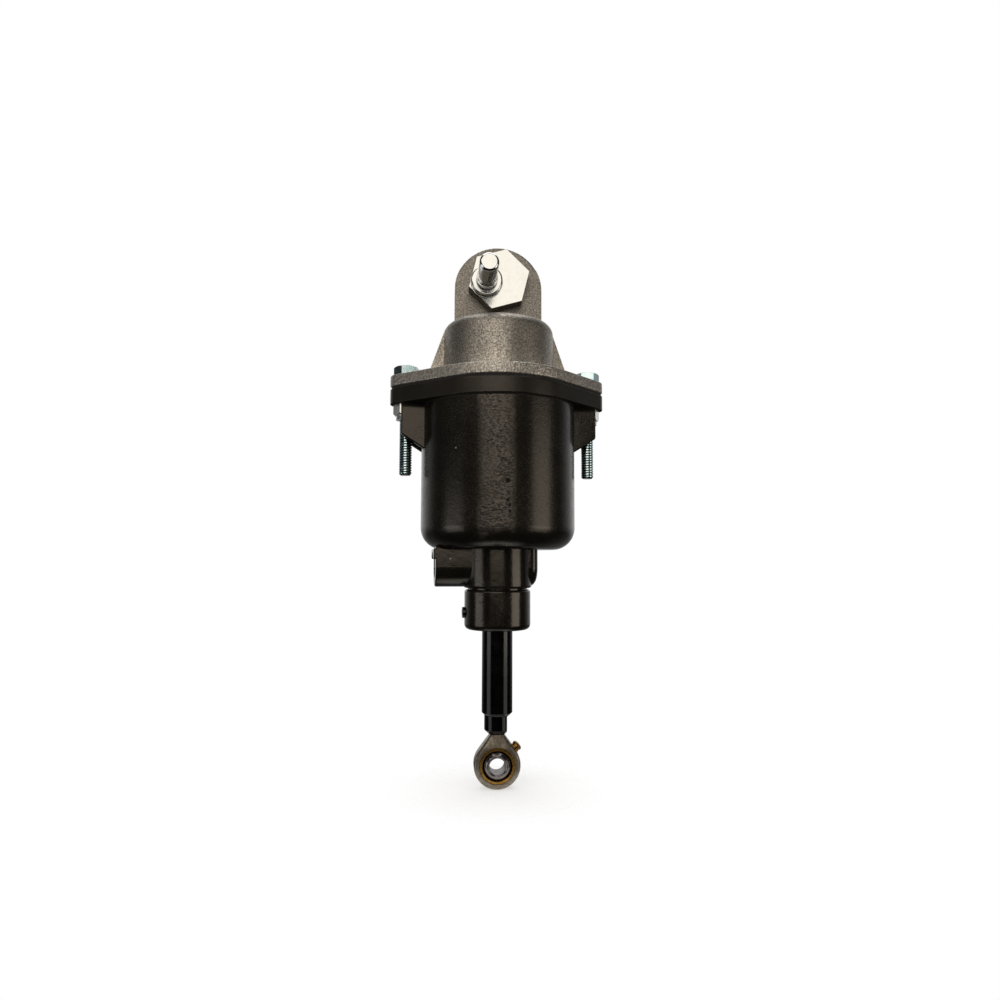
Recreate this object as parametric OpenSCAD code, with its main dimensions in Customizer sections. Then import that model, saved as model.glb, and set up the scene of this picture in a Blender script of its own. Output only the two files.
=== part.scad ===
// Engine governor actuator: a spring-returned air cylinder.
// It swings on an eccentric pivot stud in the end cap's lug and pulls on a ball-jointed rod end.
// Origin: on the stud's axis, at the front face of its shoulder ring. The stud points along -Y.

/* [Pivot stud] */
// Diameter of the stud
stud_d = 9.5; // [8:0.1:10.5]
// Length of the stud in front of its shoulder ring
stud_len = 20.9; // [15:0.1:35]
// Chamfer at the stud's tip
stud_chamfer = 0.9; // [0.4:0.1:1.5]
// Diameter of the shoulder ring behind the stud
shoulder_d = 10.8; // [10.6:0.1:13]
// Thickness of the shoulder ring
shoulder_t = 1.2; // [0.6:0.1:2]
// Diameter of the relief groove behind the shoulder ring
relief_d = 7.2; // [6:0.1:9]
// Width of the relief groove
relief_w = 1.6; // [0.8:0.1:2.5]
// Diameter of the collar on the hexagon
collar_d = 16; // [13.5:0.1:18]
// Thickness of the collar
collar_t = 3.3; // [1.5:0.1:4.5]
// Rounding of the collar's front edge
collar_edge = 0.9; // [0.3:0.1:1.2]
// Hexagon across flats
hex_af = 28.2; // [26:0.1:32]
// Thickness of the hexagon
hex_t = 8; // [5:0.1:10]
// Turn of the hexagon about its own axis
hex_turn = 16; // [0:0.5:60]
// Hexagon's centre to the right of the stud
hex_right = 6.5; // [3:0.1:8]
// Hexagon's centre above the stud
hex_up = 1.9; // [0:0.1:4]
// Diameter of the journal that turns in the lug
journal_d = 16; // [14:0.1:20]
// Running clearance round the journal
journal_clear = 0.05; // [0.02:0.01:0.1]
// End play of the lug between the hexagon and the washer
lug_play = 0.2; // [0.1:0.05:0.5]
// Diameter of the thread behind the journal
tail_d = 12; // [8:0.1:13]
// Outside diameter of the washer behind the lug
pivot_washer_d = 26; // [22:0.5:32]
// Thickness of that washer
pivot_washer_t = 2.5; // [1.5:0.1:4]
// Across flats of the nut behind the lug
pivot_nut_af = 19; // [17:0.5:24]
// Height of that nut
pivot_nut_h = 10; // [6:0.5:14]

/* [End cap] */
// Radius of the cap at its foot
cap_r = 28.5; // [27:0.1:31]
// How much smaller the cap's radius is at its top
cap_draft = 0.3; // [0:0.1:1.5]
// Height of the cap above its flange
cap_h = 28; // [24:0.5:36]
// Rounding of the cap's top edge
cap_edge = 5.5; // [3:0.1:7]
// Fillet where the cap meets its flange
cap_foot = 3; // [1:0.1:4]
// Thickness of the cap's flange
cap_flange_t = 5.9; // [4:0.1:9]
// Thickness of the cap's wall round the spring chamber
cap_wall = 5.6; // [4:0.1:7]
// Thickness of the cap's roof
cap_roof = 5.5; // [4:0.1:8]
// Depth of the spigot that centres the cap in the bore
spigot_t = 3; // [1.5:0.1:5]
// Clearance round the spigot
spigot_clear = 0.1; // [0.05:0.05:0.3]
// Thickness of the side ribs
rib_t = 6; // [4:0.5:9]
// How far the ribs reach out from the cap's foot
rib_reach = 8; // [5:0.1:9]
// Width of the pivot lug
lug_w = 45.4; // [40:0.1:48]
// Thickness of the pivot lug
lug_t = 10; // [8:0.5:14]
// How far the lug's front face lies behind the rod axis
lug_setback = 1.5; // [0:0.1:4]
// Height of the pivot bore above the cap's top
pivot_rise = 23.3; // [22:0.1:30]
// How far the lug's arch centre lies below the pivot bore
arch_drop = 2.9; // [0:0.1:5]
// Diameter of the breather hole at the back of the cap
breather_d = 3; // [2:0.5:4]

/* [Flange joint] */
// Turn of the flange's ears about the rod axis, against the stud
ear_turn = 4.2; // [0:0.1:8]
// How far the flange stands out past the cylinder
flange_lip = 0.4; // [0.2:0.1:3]
// Distance of each bolt from the cylinder's outside
bolt_out = 8; // [7.6:0.1:12]
// Radius of each ear
ear_r = 8; // [7:0.1:9]
// Thickness of the body's flange
body_flange_t = 7.9; // [6:0.1:11]
// Thickness of the gasket
gasket_t = 0.8; // [0.4:0.1:1.5]
// How far the gasket lies inside the flange's edge
gasket_inset = 0.9; // [0.3:0.1:1.5]

/* [Bolts] */
// Bolt diameter
bolt_d = 6.35; // [5:0.05:7]
// Bolt length under the head
bolt_len = 50.2; // [35:0.1:65]
// Clearance of the bolt in its hole, on the radius
bolt_clear = 0.25; // [0.1:0.05:0.4]
// Across flats of the bolt heads and the nuts
bolt_af = 11.1; // [10:0.1:12.5]
// Height of the bolt heads
bolt_head_h = 4.8; // [3:0.1:6]
// Turn of the left bolt's head
left_head_turn = 7; // [-30:1:30]
// Turn of the right bolt's head
right_head_turn = -11; // [-30:1:30]
// Chamfer at the bolts' ends
bolt_chamfer = 0.6; // [0.3:0.1:1]
// Height of the lock nuts
lock_nut_h = 7.7; // [5:0.1:9]
// Height of the round collar at the end of each lock nut
lock_nut_collar = 2.1; // [1:0.1:3]
// Diameter of that collar
lock_nut_collar_d = 10.1; // [8.5:0.1:10.5]

/* [Cylinder body] */
// Outside radius of the cylinder
cyl_r = 38.9; // [37:0.1:41]
// Length of the cylinder below the flange joint
cyl_len = 80.5; // [75:0.5:100]
// Rounding at the cylinder's lower edge
cyl_corner = 11; // [6:0.5:13]
// Diameter of the piston bore
bore_d = 63.5; // [60:0.1:66]
// Thickness of the cylinder's floor
floor_t = 7; // [5:0.5:9]
// Thickness of the gussets
gusset_t = 2.6; // [2:0.1:3.5]
// Clearance between each nut's flats and the gussets
gusset_clear = 0.2; // [0.1:0.05:0.5]
// How far the gussets reach past the bolt axis
gusset_reach = 2.5; // [0:0.1:3.5]
// Height of the gussets' upright edge
gusset_h = 15.8; // [10:0.1:20]
// Drop of the gussets' slanting edge
gusset_drop = 7.1; // [3:0.1:10]
// Radius of the neck's upper part
neck_top_r = 17.2; // [17:0.1:20]
// Length of the neck's upper part
neck_top_len = 19.1; // [18.6:0.1:26]
// Rounding at the foot of the neck's upper part
neck_top_edge = 1.4; // [1:0.1:2]
// Radius of the neck's lower part
neck_r = 16.6; // [15.9:0.1:16.9]
// Rounding at the top of the neck's lower part
neck_shoulder = 1.3; // [0.5:0.1:2]
// Radius at the bottom of the groove between the neck's two parts
neck_groove_r = 15; // [14.5:0.1:15.2]
// Height of that groove
neck_groove_h = 0.7; // [0.4:0.1:1.5]
// Length of the neck's lower part
neck_len = 20.6; // [18:0.1:28]
// Rounding at the foot of the neck
neck_edge = 2.8; // [1:0.1:3.5]

/* [Air port] */
// Half width of the port boss and radius of its round underside
port_boss_r = 10; // [9:0.1:10.5]
// Depth of the port's axis below the cylinder
port_drop = 8.5; // [7.5:0.1:10]
// Reach of the port boss to the left of the rod axis
port_reach = 31.8; // [28:0.1:36]
// Reach of the blind end of the port boss to the right of the rod axis
port_back_reach = 19.4; // [18.5:0.1:26]
// Rounding of the blind end
port_back_edge = 4; // [2:0.1:6]
// Thickness of the lip at the top of the port's face
port_lip_t = 1.1; // [0.5:0.1:2]
// Height of that lip below the cylinder
port_lip_h = 4.8; // [3:0.1:5.5]
// Diameter of the tapped port
port_d = 11.4; // [8:0.1:12]
// Depth of the tapped port
port_depth = 15; // [10:0.5:18]
// Diameter of the spot face that clears the lip round the port
port_spot_d = 15; // [13:0.1:18]
// Diameter of the drilling from the port to the rod's passage
gallery_d = 6; // [4:0.5:7]
// Radius of the air passage round the rod
passage_r = 10; // [9:0.1:11]

/* [Piston rod] */
// Diameter of the rod
rod_d = 15.3; // [13:0.1:16]
// Length of rod that shows below the neck at rest
rod_out = 40.8; // [39.5:0.1:50]
// Height of the cone at the rod's lower shoulder
rod_cone = 2.6; // [0.5:0.1:3.5]
// Diameter of the turned-down end
stub_d = 12.7; // [11:0.1:12.9]
// Length of the turned-down end
stub_len = 10.7; // [8:0.1:14]
// Height of the cone at the turned-down end
stub_cone = 2.2; // [0.5:0.1:3.5]
// Radius of the turned-down end's lower face
stub_face_r = 3.9; // [3.9:0.1:5]
// Distance of the milled flat from the rod axis
stub_flat = 4.75; // [4:0.05:5.5]
// Diameter of the rod where it passes through the piston
rod_tail_d = 11; // [9:0.1:12]

/* [Piston] */
// Height of the piston
piston_h = 20; // [19:0.5:24]
// Clearance of the piston in its bore, on the radius
piston_clear = 0.35; // [0.3:0.05:0.6]
// Gap between the piston and the floor at rest
stop_gap = 0.5; // [0.3:0.1:2]
// Width of the seal and of the guide ring
ring_w = 5; // [3:0.1:6]
// Depth of the grooves that hold them
ring_depth = 3.5; // [2:0.1:5]
// Running clearance of the seals, rings and bush
run_clear = 0.05; // [0.02:0.01:0.1]
// Depth of the spring's seat in the piston
seat_depth = 2; // [1:0.1:3]
// Outside diameter of the washer on the piston
piston_washer_d = 26; // [22:0.5:30]
// Thickness of that washer
piston_washer_t = 2.5; // [1.5:0.1:4]
// Across flats of the piston nut
piston_nut_af = 17; // [16:0.5:20]
// Height of the piston nut
piston_nut_h = 8; // [6:0.5:12]
// Length of thread past a nut
thread_past = 1.5; // [0.5:0.1:3]

/* [Return spring] */
// Gap between the spring and its chamber
spring_gap = 2.1; // [1:0.1:3]
// Diameter of the spring's wire
wire_d = 3; // [2:0.1:3.5]
// Turns of the spring, with one closed turn at each end
spring_turns = 8; // [5:0.5:10]

/* [Rod gland] */
// Outside radius of the bush and its seals
gland_r = 12; // [11.5:0.1:12.5]
// Clearance that the fixed rings keep in their pockets
fit_clear = 0.02; // [0.01:0.01:0.05]
// Length of the bush
bush_len = 13; // [11:0.1:15]
// Height of the rod seal
rod_seal_h = 6; // [3:0.1:6.5]
// Height of the rod wiper
wiper_h = 3.2; // [2:0.1:4]
// Diameter of the set screw in the neck
screw_d = 5.5; // [4:0.1:7]
// How far the set screw stands out of the neck
screw_out = 1.2; // [0.5:0.1:2]
// Height of the set screw above the neck's lower end
screw_rise = 8.4; // [7.5:0.1:11]
// Across flats of the set screw's socket
screw_socket = 2.5; // [2:0.1:3]
// Depth of the set screw's socket
screw_socket_depth = 2.2; // [1:0.1:3]

/* [Rod end] */
// Outside diameter of the eye
eye_d = 23.1; // [22:0.1:26.5]
// Width of the eye
eye_w = 9; // [8:0.1:10]
// Rounding of the eye's outer edges
eye_edge = 0.8; // [0.3:0.1:0.9]
// Distance from the turned-down end to the eye's centre
eye_drop = 14.7; // [14.4:0.1:20]
// Half width of the eye's neck where it meets the rod
eye_neck = 3.5; // [3.4:0.1:3.8]
// Diameter of the threaded shank
shank_d = 6.35; // [5:0.05:6.9]
// Length of the threaded shank in the rod
shank_len = 20; // [12:0.5:25]
// Diameter of the ball
ball_d = 15.875; // [15:0.005:16.6]
// Width of the ball
ball_w = 12; // [10.5:0.1:12.5]
// Bore through the ball
eye_bore = 8; // [6:0.1:9]
// Chamfer of that bore
eye_chamfer = 0.6; // [0.2:0.1:1]
// Running clearance between the ball and its race
ball_clear = 0.04; // [0.02:0.01:0.1]
// Outside diameter of the race
race_d = 17.4; // [17:0.1:19]
// Width of the race's flat rim, outside its chamfer
race_rim = 1.2; // [0.6:0.1:1.5]
// Diameter of the grease nipple
nipple_d = 4.5; // [3:0.1:5]
// How far the grease nipple stands out of the eye
nipple_out = 2.5; // [1:0.1:4]
// Diameter of the grease nipple's stem in the eye
nipple_stem_d = 3; // [2:0.1:3.5]
// Depth of that stem
nipple_in = 1.8; // [1:0.1:2]
// Depth of the spot face under the grease nipple
nipple_spot = 0.4; // [0.3:0.1:0.8]
// Diameter of the grease nipple's nose
nipple_nose_d = 3; // [2:0.1:3.5]
// Height of the grease nipple's conical nose
nipple_nose_h = 0.8; // [0.3:0.1:1]
// Angle of the grease nipple above the horizontal
nipple_angle = 42; // [0:1:50]

/* [Hidden] */
$fn = 96;

CAST_ALUMINIUM = [0.50, 0.47, 0.44];
BLACK_CASTING = [0.16, 0.145, 0.135];
BLACK_ROD = [0.05, 0.05, 0.055];
ZINC = [0.78, 0.80, 0.80];
STEEL = [0.62, 0.61, 0.58];
BRASS = [0.60, 0.45, 0.22];
RUBBER = [0.08, 0.08, 0.08];
PTFE = [0.85, 0.84, 0.80];
PAPER = [0.25, 0.22, 0.20];

// Small overlap that lets a cut or a joined solid pass a face
over = 0.5;
cos30 = cos(30);

// Depths along Y behind the stud's shoulder face
collar_y = shoulder_t + relief_w;
hex_y = collar_y + collar_t;
journal_y = hex_y + hex_t;
lug_y = journal_y + lug_play;
washer_y = lug_y + lug_t + lug_play;
pivot_nut_y = washer_y + pivot_washer_t;
tail_y = pivot_nut_y + pivot_nut_h + thread_past;
axis_y = lug_y - lug_setback;

// Heights from the top face of the body's flange, along the rod axis
cap_top = gasket_t + cap_flange_t + cap_h;
pivot_h = cap_top + pivot_rise;
cap_flange_top = gasket_t + cap_flange_t;
chamber_top = cap_top - cap_roof;
z_cyl = -cyl_len;
z_floor = z_cyl + floor_t;
z_step = z_cyl - neck_top_len;
z_neck = z_step - neck_len;
z_port = z_cyl - port_drop;
z_shoulder = z_neck - rod_out;
z_stub = z_shoulder - stub_len;
z_eye = z_stub - eye_drop;
z_wiper_top = z_neck + wiper_h;
z_bush_top = z_wiper_top + bush_len;
z_gland_top = z_bush_top + rod_seal_h;
z_piston = z_floor + stop_gap;
z_piston_top = z_piston + piston_h;
z_piston_nut = z_piston_top + piston_washer_t;
z_rod_top = z_piston_nut + piston_nut_h + thread_past;
z_screw = z_neck + screw_rise;

// Rod axis and flange joint seen from the origin
axis_x = hex_right;
joint_z = hex_up - pivot_h;

// Radii and bolt places that follow the cylinder and the cap
flange_r = cyl_r + flange_lip;
ear_x = cyl_r + bolt_out;
cap_top_r = cap_r - cap_draft;
chamber_r = cap_top_r - cap_wall;
spring_r = chamber_r - spring_gap - wire_d / 2;

bore_r = bore_d / 2;
rod_r = rod_d / 2;
piston_r = bore_r - piston_clear;
ring_gap = (piston_h - seat_depth - 2 * ring_w) / 3;
gusset_in = bolt_af / 2 + gusset_clear;
spring_low = z_piston_top - seat_depth;
eye_r = eye_d / 2;

// Angle at which the sides of the eye's neck run into the eye
NECK_ANGLE = 8;

// Places children on the rod axis, at a height from the flange joint, square to the stud
module on_axis(z = 0) {
    translate([axis_x, axis_y, joint_z + z]) children();
}

// Places children on the rod axis, turned with the flange's ears
module with_ears(z = 0) {
    on_axis(z) rotate(ear_turn) children();
}

// Turns children so that their +Z points along +Y, behind the stud
module facing_back() {
    rotate([-90, 0, 0]) children();
}

// Hexagonal bar along +Z with flats across the Y direction
module hex_bar(af, h) {
    cylinder(d = af / cos30, h = h, $fn = 6);
}

// Hexagonal bar with its corners turned off at the far end
module chamfered_hex(af, h) {
    corner = af / cos30 / 2;
    slope = corner - af / 2;
    intersection() {
        hex_bar(af, h);
        rotate_extrude()
            polygon([[0, 0], [corner, 0], [corner, h - slope], [af / 2, h], [0, h]]);
    }
}

module ring(r_in, r_out, h) {
    difference() {
        cylinder(r = r_out, h = h);
        translate([0, 0, -over]) cylinder(r = r_in, h = h + 2 * over);
    }
}

// Half section of a round bar with a rounded lower edge
module round_foot(r, z_top, z_low, edge) {
    translate([0, z_low + edge]) square([r, z_top - z_low - edge]);
    translate([0, z_low]) square([r - edge, edge + over]);
    translate([r - edge, z_low + edge]) circle(r = edge);
}

// Half section of a round bar with a rounded upper edge as well
module round_bar(r, z_top, z_low, top_edge, low_edge) {
    round_foot(r, z_top - top_edge, z_low, low_edge);
    translate([0, z_top - top_edge - over]) square([r - top_edge, top_edge + over]);
    translate([r - top_edge, z_top - top_edge]) circle(r = top_edge);
}

// Flange outline: a round middle and two ears, joined by tangent sides
module flange_outline(inset = 0) {
    middle = flange_r - inset;
    ear = ear_r - inset;
    lean = asin((middle - ear) / ear_x);
    side = [sin(lean), cos(lean)];
    inner = middle * side;
    outer = [ear_x, 0] + ear * side;
    circle(r = middle);
    for (s = [0, 1]) mirror([s, 0]) {
        translate([ear_x, 0]) circle(r = ear);
        polygon([[inner.x, -inner.y], [outer.x, -outer.y], outer, inner]);
    }
}

module at_bolts() {
    for (s = [-1, 1]) translate([s * ear_x, 0, 0]) children();
}

module bolt_holes(h) {
    at_bolts() cylinder(d = bolt_d + 2 * bolt_clear, h = h);
}

// Half section of the cap above the face of its flange
module cap_section() {
    foot = cap_flange_t;
    top = foot + cap_h;
    shoulder = cap_top_r - cap_edge;
    polygon([[0, 0], [cap_r, 0], [cap_r, foot], [cap_top_r, top - cap_edge],
             [shoulder, top - cap_edge], [shoulder, top], [0, top]]);
    translate([shoulder, top - cap_edge]) circle(r = cap_edge);
    translate([cap_r - over, foot]) difference() {
        square([cap_foot + over, cap_foot]);
        translate([cap_foot + over, cap_foot]) circle(r = cap_foot);
    }
}

// Side ribs that stiffen the cap's flange towards the bolts, tangent to the cap's rounded top edge
module cap_ribs() {
    foot = cap_flange_t;
    end = cap_r + rib_reach;
    centre = [cap_top_r - cap_edge, foot + cap_h - cap_edge];
    to_end = [end, foot] - centre;
    lean = atan2(to_end.y, to_end.x) + acos(cap_edge / norm(to_end));
    touch = centre + cap_edge * [cos(lean), sin(lean)];
    for (s = [0, 1]) mirror([s, 0, 0])
        translate([0, rib_t / 2, 0]) rotate([90, 0, 0]) linear_extrude(rib_t)
            polygon([[centre.x, foot - over], [end, foot - over], [end, foot], touch, [centre.x, touch.y]]);
}

// Arched lug that stands on the cap's roof
module cap_lug() {
    root = cap_flange_t + cap_h - cap_roof + over;
    arch = pivot_h - gasket_t - arch_drop;
    translate([0, lug_setback + lug_t, 0]) rotate([90, 0, 0]) linear_extrude(lug_t) {
        translate([-lug_w / 2, root]) square([lug_w, arch - root]);
        translate([0, arch]) circle(d = lug_w);
    }
}

module end_cap() {
    color(CAST_ALUMINIUM) with_ears(gasket_t) difference() {
        union() {
            linear_extrude(cap_flange_t) flange_outline();
            rotate_extrude() cap_section();
            cap_ribs();
            rotate(-ear_turn) cap_lug();
            translate([0, 0, -gasket_t - spigot_t])
                cylinder(r = bore_r - spigot_clear, h = gasket_t + spigot_t + over);
        }
        translate([0, 0, -gasket_t - spigot_t - over])
            cylinder(r = chamber_r, h = chamber_top + spigot_t + over);
        rotate(-ear_turn) translate([0, lug_setback - over, pivot_h - gasket_t]) facing_back()
            cylinder(r = journal_d / 2 + journal_clear, h = lug_t + 2 * over);
        translate([0, 0, -over]) bolt_holes(cap_flange_t + 2 * over);
        translate([0, 0, cap_flange_t + cap_h / 2]) facing_back()
            cylinder(d = breather_d, h = flange_r);
    }
}

// Upright plates under the ears, on both sides of each nut
module gussets() {
    out = ear_x + gusset_reach;
    root = cyl_r - over;
    low = -body_flange_t - gusset_h;
    for (s = [0, 1], t = [0, 1]) mirror([s, 0, 0]) mirror([0, t, 0])
        translate([0, -gusset_in, 0]) rotate([90, 0, 0]) linear_extrude(gusset_t)
            polygon([[bore_r + over, -body_flange_t + over], [out, -body_flange_t + over],
                     [out, low], [root, low - gusset_drop], [bore_r + over, low - gusset_drop]]);
}

// Port boss across the neck, straight-sided above and round below
module port_boss() {
    high = z_floor - z_port - over;
    straight = port_back_reach - port_back_edge;
    translate([0, 0, z_port]) {
        translate([-port_reach, 0, 0]) rotate([0, 90, 0]) rotate_extrude()
            round_end(port_reach + port_back_reach);
        linear_extrude(high) {
            translate([-port_reach, -port_boss_r])
                square([port_reach + straight, 2 * port_boss_r]);
            translate([0, port_back_edge - port_boss_r])
                square([port_back_reach, 2 * (port_boss_r - port_back_edge)]);
            for (s = [-1, 1]) translate([straight, s * (port_boss_r - port_back_edge)])
                circle(r = port_back_edge);
        }
    }
    translate([-port_reach - port_lip_t, -port_boss_r, z_cyl - port_lip_h])
        cube([port_lip_t + over, 2 * port_boss_r, port_lip_h + over]);
}

// Half section of the boss's round part, with its blind end rounded
module round_end(len) {
    square([port_boss_r, len - port_back_edge]);
    square([port_boss_r - port_back_edge, len]);
    translate([port_boss_r - port_back_edge, len - port_back_edge]) circle(r = port_back_edge);
}

module port_drillings() {
    translate([-port_reach, 0, z_port]) rotate([0, 90, 0]) {
        translate([0, 0, -port_lip_t - over]) cylinder(d = port_spot_d, h = port_lip_t + over);
        translate([0, 0, -over]) cylinder(d = port_d, h = port_depth + over);
        cylinder(d = gallery_d, h = port_reach);
    }
}

module neck_drillings() {
    translate([0, 0, z_gland_top - over]) cylinder(r = passage_r, h = z_floor - z_gland_top + 2 * over);
    translate([0, 0, z_neck - over]) cylinder(r = gland_r, h = z_gland_top - z_neck + over);
    translate([-neck_r - over, 0, z_screw]) rotate([0, 90, 0])
        cylinder(d = screw_d + 2 * fit_clear, h = neck_r + over);
}

module cylinder_body() {
    color(BLACK_CASTING) with_ears() difference() {
        union() {
            translate([0, 0, -body_flange_t]) linear_extrude(body_flange_t) flange_outline();
            rotate_extrude() {
                round_foot(cyl_r, -over, z_cyl, cyl_corner);
                round_foot(neck_top_r, z_floor - over, z_step, neck_top_edge);
                round_bar(neck_r, z_step - neck_groove_h, z_neck, neck_shoulder, neck_edge);
                translate([0, z_step - neck_groove_h - over])
                    square([neck_groove_r, neck_groove_h + 2 * over]);
            }
            gussets();
            port_boss();
        }
        translate([0, 0, z_floor]) cylinder(r = bore_r, h = over - z_floor);
        translate([0, 0, -body_flange_t - over]) bolt_holes(body_flange_t + 2 * over);
        port_drillings();
        neck_drillings();
    }
}

module flange_gasket() {
    color(PAPER) with_ears() linear_extrude(gasket_t) difference() {
        flange_outline(gasket_inset);
        circle(r = bore_r);
        for (s = [-1, 1]) translate([s * ear_x, 0]) circle(d = bolt_d + 2 * bolt_clear);
    }
}

// Bolt with its head above and its shank below
module hex_bolt(turn) {
    rotate(turn) chamfered_hex(bolt_af, bolt_head_h);
    translate([0, 0, bolt_chamfer - bolt_len]) cylinder(d = bolt_d, h = bolt_len - bolt_chamfer + over);
    translate([0, 0, -bolt_len])
        cylinder(d1 = bolt_d - 2 * bolt_chamfer, d2 = bolt_d, h = bolt_chamfer);
}

module flange_bolts() {
    color(ZINC) with_ears(cap_flange_top) {
        translate([-ear_x, 0, 0]) hex_bolt(left_head_turn);
        translate([ear_x, 0, 0]) hex_bolt(right_head_turn);
    }
}

// Lock nut along -Z: a hexagon with a round collar at its lower end
module lock_nut() {
    hex_h = lock_nut_h - lock_nut_collar;
    difference() {
        union() {
            mirror([0, 0, 1]) chamfered_hex(bolt_af, hex_h);
            translate([0, 0, -lock_nut_h]) cylinder(d = lock_nut_collar_d, h = lock_nut_h);
        }
        translate([0, 0, -lock_nut_h - over])
            cylinder(d = bolt_d + 2 * fit_clear, h = lock_nut_h + 2 * over);
    }
}

module flange_nuts() {
    color(ZINC) with_ears(-body_flange_t) at_bolts() lock_nut();
}

module pivot_stud() {
    color(ZINC) {
        facing_back() rotate_extrude() polygon([
            [0, -stud_len], [stud_d / 2 - stud_chamfer, -stud_len],
            [stud_d / 2, stud_chamfer - stud_len], [stud_d / 2, 0],
            [shoulder_d / 2, 0], [shoulder_d / 2, shoulder_t],
            [relief_d / 2, shoulder_t], [relief_d / 2, collar_y + over], [0, collar_y + over]]);
        facing_back() translate([0, 0, hex_y]) mirror([0, 0, 1]) rotate_extrude() mirror([0, 1])
            round_foot(collar_d / 2, over, -collar_t, collar_edge);
        translate([hex_right, 0, hex_up]) facing_back() {
            translate([0, 0, hex_y]) rotate(-hex_turn) hex_bar(hex_af, hex_t);
            translate([0, 0, journal_y - over])
                cylinder(d = journal_d, h = washer_y - journal_y + over);
            translate([0, 0, washer_y - over]) cylinder(d = tail_d, h = tail_y - washer_y + over);
        }
    }
}

module pivot_washer() {
    color(ZINC) translate([hex_right, washer_y, hex_up]) facing_back()
        ring(tail_d / 2 + fit_clear, pivot_washer_d / 2, pivot_washer_t);
}

module pivot_nut() {
    color(ZINC) translate([hex_right, pivot_nut_y, hex_up]) facing_back() difference() {
        chamfered_hex(pivot_nut_af, pivot_nut_h);
        translate([0, 0, -over]) cylinder(d = tail_d + 2 * fit_clear, h = pivot_nut_h + 2 * over);
    }
}

// Groove round the piston at a height above its lower face
module piston_groove(z) {
    translate([0, 0, z]) ring(piston_r - ring_depth, piston_r + over, ring_w);
}

module piston() {
    color(STEEL) on_axis(z_piston) difference() {
        cylinder(r = piston_r, h = piston_h);
        translate([0, 0, -over]) cylinder(d = rod_tail_d + 2 * fit_clear, h = piston_h + 2 * over);
        piston_groove(ring_gap);
        piston_groove(2 * ring_gap + ring_w);
        translate([0, 0, piston_h - seat_depth])
            ring(piston_washer_d / 2 + over, spring_r + wire_d, seat_depth + over);
    }
}

// Ring that fills one of the piston's grooves and runs in the bore
module piston_ring(z) {
    on_axis(z_piston + z + fit_clear)
        ring(piston_r - ring_depth + fit_clear, bore_r - run_clear, ring_w - 2 * fit_clear);
}

module piston_guide_ring() {
    color(PTFE) piston_ring(ring_gap);
}

module piston_seal() {
    color(RUBBER) piston_ring(2 * ring_gap + ring_w);
}

module piston_washer() {
    color(ZINC) on_axis(z_piston_top)
        ring(rod_tail_d / 2 + fit_clear, piston_washer_d / 2, piston_washer_t);
}

module piston_nut() {
    color(ZINC) on_axis(z_piston_nut) difference() {
        chamfered_hex(piston_nut_af, piston_nut_h);
        translate([0, 0, -over]) cylinder(d = rod_tail_d + 2 * fit_clear, h = piston_nut_h + 2 * over);
    }
}

SPRING_SIDES = 8;
SPRING_STEPS = 18;
spring_len = chamber_top - spring_low - 2 * fit_clear;
closed_pitch = wire_d + 3 * fit_clear;
open_pitch = (spring_len - wire_d - 2 * closed_pitch) / (spring_turns - 2);

// Height of the wire's centre after a number of turns
function coil_height(turn) =
    wire_d / 2 + closed_pitch * min(turn, 1)
    + open_pitch * min(max(turn - 1, 0), spring_turns - 2)
    + closed_pitch * max(turn - spring_turns + 1, 0);

// Section of the wire after a number of turns
function coil_ring(turn) = [
    for (j = [0 : SPRING_SIDES - 1])
        let (a = 360 * turn, b = 360 * j / SPRING_SIDES, r = spring_r + wire_d / 2 * cos(b))
        [r * cos(a), r * sin(a), coil_height(turn) + wire_d / 2 * sin(b)]
];

module return_spring() {
    rings = floor(spring_turns * SPRING_STEPS);
    last = rings * SPRING_SIDES;
    points = [for (i = [0 : rings]) each coil_ring(i / SPRING_STEPS)];
    sides = [for (i = [0 : rings - 1], j = [0 : SPRING_SIDES - 1])
        let (a = i * SPRING_SIDES, k = (j + 1) % SPRING_SIDES)
        [a + j, a + SPRING_SIDES + j, a + SPRING_SIDES + k, a + k]];
    first_end = [for (j = [0 : SPRING_SIDES - 1]) j];
    last_end = [for (j = [0 : SPRING_SIDES - 1]) last + SPRING_SIDES - 1 - j];
    color(STEEL) on_axis(spring_low + fit_clear)
        polyhedron(points, concat([first_end, last_end], sides), convexity = 10);
}

module piston_rod() {
    color(BLACK_ROD) on_axis() difference() {
        union() {
            rotate_extrude() polygon([
                [0, z_shoulder - rod_cone], [stub_flat, z_shoulder - rod_cone], [rod_r, z_shoulder],
                [rod_r, z_piston], [rod_tail_d / 2, z_piston], [rod_tail_d / 2, z_rod_top], [0, z_rod_top]]);
            difference() {
                rotate_extrude() polygon([
                    [0, z_stub], [stub_face_r, z_stub], [stub_d / 2, z_stub + stub_cone],
                    [stub_d / 2, z_shoulder], [0, z_shoulder]]);
                translate([stub_flat, -stub_d, z_stub - over])
                    cube([stub_d, 2 * stub_d, stub_len + 2 * over]);
            }
        }
        translate([0, 0, z_stub - over])
            cylinder(d = shank_d + 2 * fit_clear, h = shank_len + 2 * over);
    }
}

module rod_bush() {
    color(BRASS) on_axis(z_wiper_top)
        ring(rod_r + run_clear, gland_r - fit_clear, bush_len);
}

module rod_seal() {
    color(RUBBER) on_axis(z_bush_top)
        ring(rod_r + run_clear, gland_r - fit_clear, rod_seal_h - fit_clear);
}

module rod_wiper() {
    color(RUBBER) on_axis(z_neck) ring(rod_r + run_clear, gland_r - fit_clear, wiper_h);
}

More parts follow.
